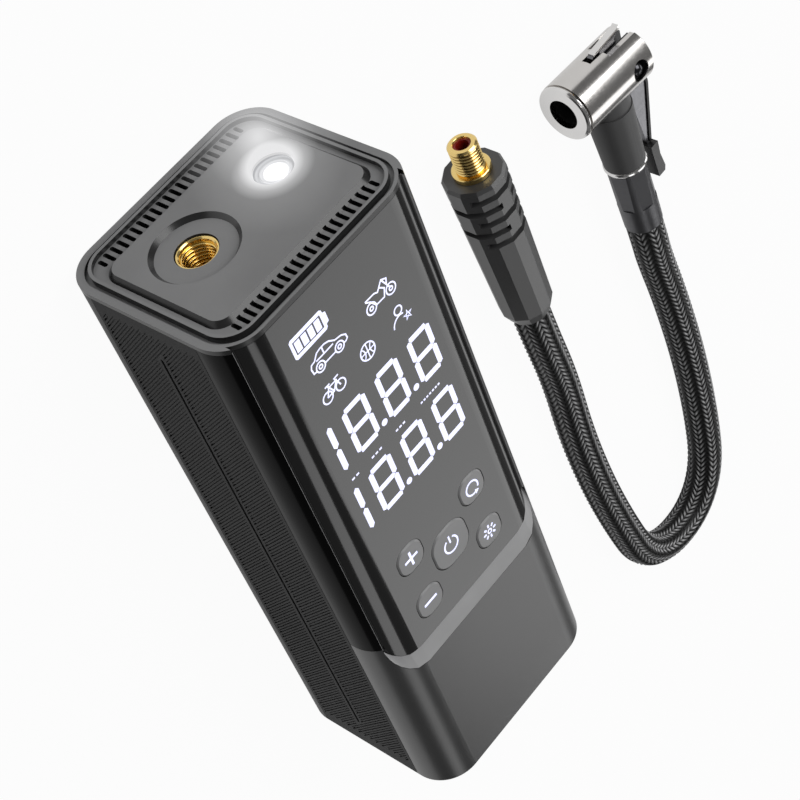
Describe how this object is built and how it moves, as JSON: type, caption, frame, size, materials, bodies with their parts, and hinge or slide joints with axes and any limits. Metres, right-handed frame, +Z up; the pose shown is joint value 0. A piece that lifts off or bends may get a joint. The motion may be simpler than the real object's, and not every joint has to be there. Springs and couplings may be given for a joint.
{
  "type": "portable tire inflator",
  "caption": "Pocket air pump in a long rounded box with a display and keys on the front, ribbed sides, a vented end with lamp and air outlet, and a loose braided hose with a lever valve chuck.",
  "frame": {"origin": "under the middle of the housing, on the surface its back lies on", "axes": "+X to the right when the display is read, +Y along the housing towards the vented top end, +Z up, out of the display"},
  "size_m": [0.1721, 0.2582, 0.0534],
  "materials": {
    "case_back": "fine satin texture",
    "grip_panels": "matt, ribbed",
    "frame_gloss": "polished",
    "tinted_cover": "polished dark tint",
    "band": "satin",
    "case_satin": "satin metallic",
    "cap": "satin",
    "brass": "turned",
    "lamp_lens": "clear",
    "reflector": "vacuum plated",
    "circuit_board": "solder mask",
    "display": "dark module",
    "cell_can": "shrink sleeve",
    "inner_plastic": "moulded",
    "steel": "plain",
    "motor_can": "zinc plated",
    "bronze": "sintered",
    "cast_alloy": "die cast",
    "silicone": "translucent",
    "sensor_case": "moulded",
    "piston_plastic": "moulded",
    "keys": "satin",
    "grip_plastic": "satin",
    "red_seal": "smooth",
    "hose_braid": "braided",
    "sleeve_gunmetal": "dark, satin",
    "bright_ring": "polished",
    "stem_plastic": "satin",
    "chrome": "polished",
    "core_plastic": "moulded",
    "washer_rubber": "smooth",
    "lever_steel": "dark plated",
    "pad_plastic": "satin"
  },
  "bodies": {
    "housing": {"main_shell": "case_back", "left_grip_panel": "grip_panels", "right_grip_panel": "grip_panels", "front_frame": "frame_gloss", "display_cover": "tinted_cover", "trim_band": "band", "lower_case": "case_satin", "top_cap": "cap", "outlet_socket": "brass", "lamp_lens": "lamp_lens", "lamp_reflector": "reflector", "lamp_module": "circuit_board", "key_switches": "circuit_board", "display_panel": "display", "main_board": "circuit_board", "battery_cells": "cell_can", "battery_clips": "inner_plastic", "charge_socket": "steel", "charge_board": "circuit_board", "drive_motor": "motor_can", "pump_bracket": "steel", "axle_bush": "bronze", "pump_cylinder": "cast_alloy", "cylinder_head": "cast_alloy", "air_tube": "silicone", "sensor_tube": "silicone", "pressure_sensor": "sensor_case", "case_screws": "steel"},
    "crank": {"crank_gear": "steel"},
    "pinion": {"motor_pinion": "brass"},
    "piston": {"piston_rod": "piston_plastic"},
    "power_key": {"power_key": "keys"},
    "plus_key": {"plus_key": "keys"},
    "minus_key": {"minus_key": "keys"},
    "mode_key": {"mode_key": "keys"},
    "lamp_key": {"lamp_key": "keys"},
    "hose_set": {"hose_grip": "grip_plastic", "hose_nipple": "brass", "nipple_seal": "red_seal", "air_hose": "hose_braid", "hose_sleeve": "sleeve_gunmetal", "sleeve_ring": "bright_ring", "chuck_stem": "stem_plastic", "chuck_barrel": "chrome", "chuck_mouth_ring": "bright_ring", "chuck_liner": "core_plastic", "chuck_core": "core_plastic", "chuck_washer": "washer_rubber", "lever_pin": "steel"},
    "lever": {"clamp_lever": "lever_steel", "lever_pad": "pad_plastic"}
  },
  "joints": [
    {"name": "power_press", "type": "slide", "parent": "housing", "child": "power_key", "axis": [0, 0, -1], "range_m": [0, 0.0005], "stiffness_N_per_m": 2500, "springref_m": -0.0002},
    {"name": "plus_press", "type": "slide", "parent": "housing", "child": "plus_key", "axis": [0, 0, -1], "range_m": [0, 0.0005], "stiffness_N_per_m": 2500, "springref_m": -0.0002},
    {"name": "minus_press", "type": "slide", "parent": "housing", "child": "minus_key", "axis": [0, 0, -1], "range_m": [0, 0.0005], "stiffness_N_per_m": 2500, "springref_m": -0.0002},
    {"name": "mode_press", "type": "slide", "parent": "housing", "child": "mode_key", "axis": [0, 0, -1], "range_m": [0, 0.0005], "stiffness_N_per_m": 2500, "springref_m": -0.0002},
    {"name": "lamp_press", "type": "slide", "parent": "housing", "child": "lamp_key", "axis": [0, 0, -1], "range_m": [0, 0.0005], "stiffness_N_per_m": 2500, "springref_m": -0.0002},
    {"name": "crank_spin", "type": "hinge", "parent": "housing", "child": "crank", "pos_m": [-0.0095, 0.019, 0.0234], "axis": [1, 0, 0], "continuous": true},
    {"name": "pinion_spin", "type": "hinge", "parent": "housing", "child": "pinion", "pos_m": [-0.0095, -0.00065, 0.016], "axis": [1, 0, 0], "continuous": true},
    {"name": "piston_slide", "type": "slide", "parent": "housing", "child": "piston", "axis": [0, 1, 0], "range_m": [0, 0.012]},
    {"name": "hose_lift", "type": "slide", "parent": "housing", "child": "hose_set", "axis": [0, 0, 1], "range_m": [0, 0.12]},
    {"name": "lever_clamp", "type": "hinge", "parent": "hose_set", "child": "lever", "pos_m": [0.13379, 0.00804, 0.0083], "axis": [0, 0, 1], "range_deg": [0, 12]}
  ],
  "couplings": [
    {"joint": "pinion_spin", "follows": "crank_spin", "ratio": -4}
  ]
}
